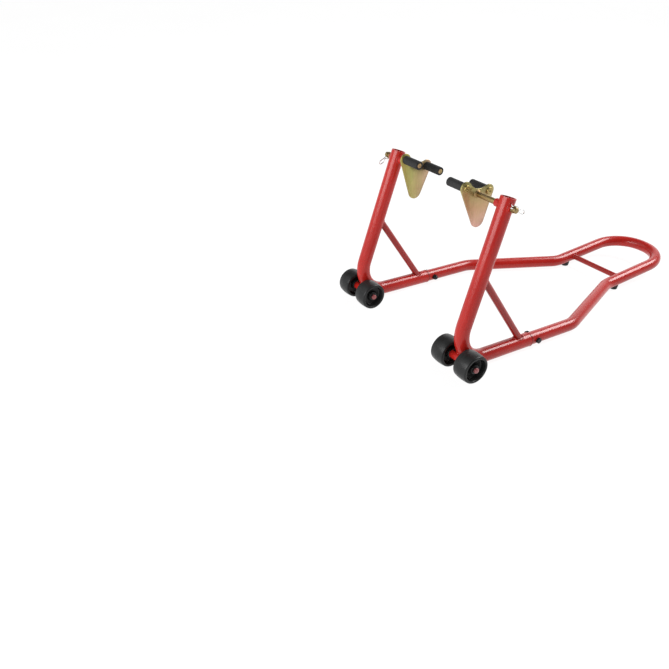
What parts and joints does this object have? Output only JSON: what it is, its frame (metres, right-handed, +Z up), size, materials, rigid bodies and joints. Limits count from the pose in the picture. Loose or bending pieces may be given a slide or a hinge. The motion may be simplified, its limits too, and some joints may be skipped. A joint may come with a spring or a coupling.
{
  "type": "front paddock stand",
  "caption": "Motorcycle front paddock stand: U-shaped tubular lever on castor wheels, with sliding, swinging fork adapter plates on top of two bent legs.",
  "frame": {"origin": "on the floor, at the middle of the stand's length and width, under the bounding box's centre", "axes": "+X from the wheels towards the end of the handle, +Y to the left side, +Z up; the bike's wheel stands over the -X end"},
  "size_m": [0.903, 0.5002, 0.3942],
  "materials": {
    "red_paint": "gloss powder coat",
    "yellow_zinc": "yellow zinc plate with an iridescent sheen",
    "wheel_plastic": "satin moulded nylon",
    "black_rubber": "matt",
    "black_steel": "black oxide",
    "bright_steel": "bright"
  },
  "bodies": {
    "frame": {"handle_tube": "red_paint", "handle_crossbar": "red_paint", "leg_tube_left": "red_paint", "leg_tube_right": "red_paint", "brace_left": "red_paint", "brace_right": "red_paint", "spigot_left": "red_paint", "spigot_right": "red_paint", "rod_sleeve_left": "red_paint", "rod_sleeve_right": "red_paint", "axle_tube_left": "red_paint", "axle_tube_right": "red_paint", "axle_left": "bright_steel", "axle_right": "bright_steel", "axle_washers": "black_steel", "axle_caps": "red_paint", "joint_bolts": "black_steel", "joint_nuts": "black_steel", "foot_left": "black_rubber", "foot_right": "black_rubber", "foot_inserts": "bright_steel", "foot_screws": "black_steel"},
    "wheel_left_outer": {"wheel_left_outer": "wheel_plastic"},
    "wheel_left_inner": {"wheel_left_inner": "wheel_plastic"},
    "wheel_right_outer": {"wheel_right_outer": "wheel_plastic"},
    "wheel_right_inner": {"wheel_right_inner": "wheel_plastic"},
    "slider_left": {"rod_washer_left": "yellow_zinc"},
    "adapter_left": {"adapter_rod_left": "yellow_zinc", "adapter_plate_left": "yellow_zinc", "cradle_pin_left_front": "yellow_zinc", "cradle_pin_left_rear": "yellow_zinc", "pin_rubber_left_front": "black_rubber", "pin_rubber_left_rear": "black_rubber", "r_clip_left": "bright_steel"},
    "slider_right": {"rod_washer_right": "yellow_zinc"},
    "adapter_right": {"adapter_rod_right": "yellow_zinc", "adapter_plate_right": "yellow_zinc", "cradle_pin_right_front": "yellow_zinc", "cradle_pin_right_rear": "yellow_zinc", "pin_rubber_right_front": "black_rubber", "pin_rubber_right_rear": "black_rubber", "r_clip_right": "bright_steel"}
  },
  "joints": [
    {"name": "wheel_left_outer_spin", "type": "hinge", "parent": "frame", "child": "wheel_left_outer", "pos_m": [-0.418, 0.22775, 0.0335], "axis": [0, 1, 0], "continuous": true},
    {"name": "wheel_left_inner_spin", "type": "hinge", "parent": "frame", "child": "wheel_left_inner", "pos_m": [-0.418, 0.15225, 0.0335], "axis": [0, 1, 0], "continuous": true},
    {"name": "wheel_right_outer_spin", "type": "hinge", "parent": "frame", "child": "wheel_right_outer", "pos_m": [-0.418, -0.22775, 0.0335], "axis": [0, 1, 0], "continuous": true},
    {"name": "wheel_right_inner_spin", "type": "hinge", "parent": "frame", "child": "wheel_right_inner", "pos_m": [-0.418, -0.15225, 0.0335], "axis": [0, 1, 0], "continuous": true},
    {"name": "adapter_left_slide", "type": "slide", "parent": "frame", "child": "slider_left", "axis": [0, 1, 0], "range_m": [-0.0105, 0.044]},
    {"name": "adapter_left_swing", "type": "hinge", "parent": "slider_left", "child": "adapter_left", "pos_m": [-0.34115, 0.15, 0.36067], "axis": [0, 1, 0], "continuous": true},
    {"name": "adapter_right_slide", "type": "slide", "parent": "frame", "child": "slider_right", "axis": [0, -1, 0], "range_m": [-0.0025, 0.052]},
    {"name": "adapter_right_swing", "type": "hinge", "parent": "slider_right", "child": "adapter_right", "pos_m": [-0.34115, -0.15, 0.36067], "axis": [0, 1, 0], "continuous": true}
  ]
}
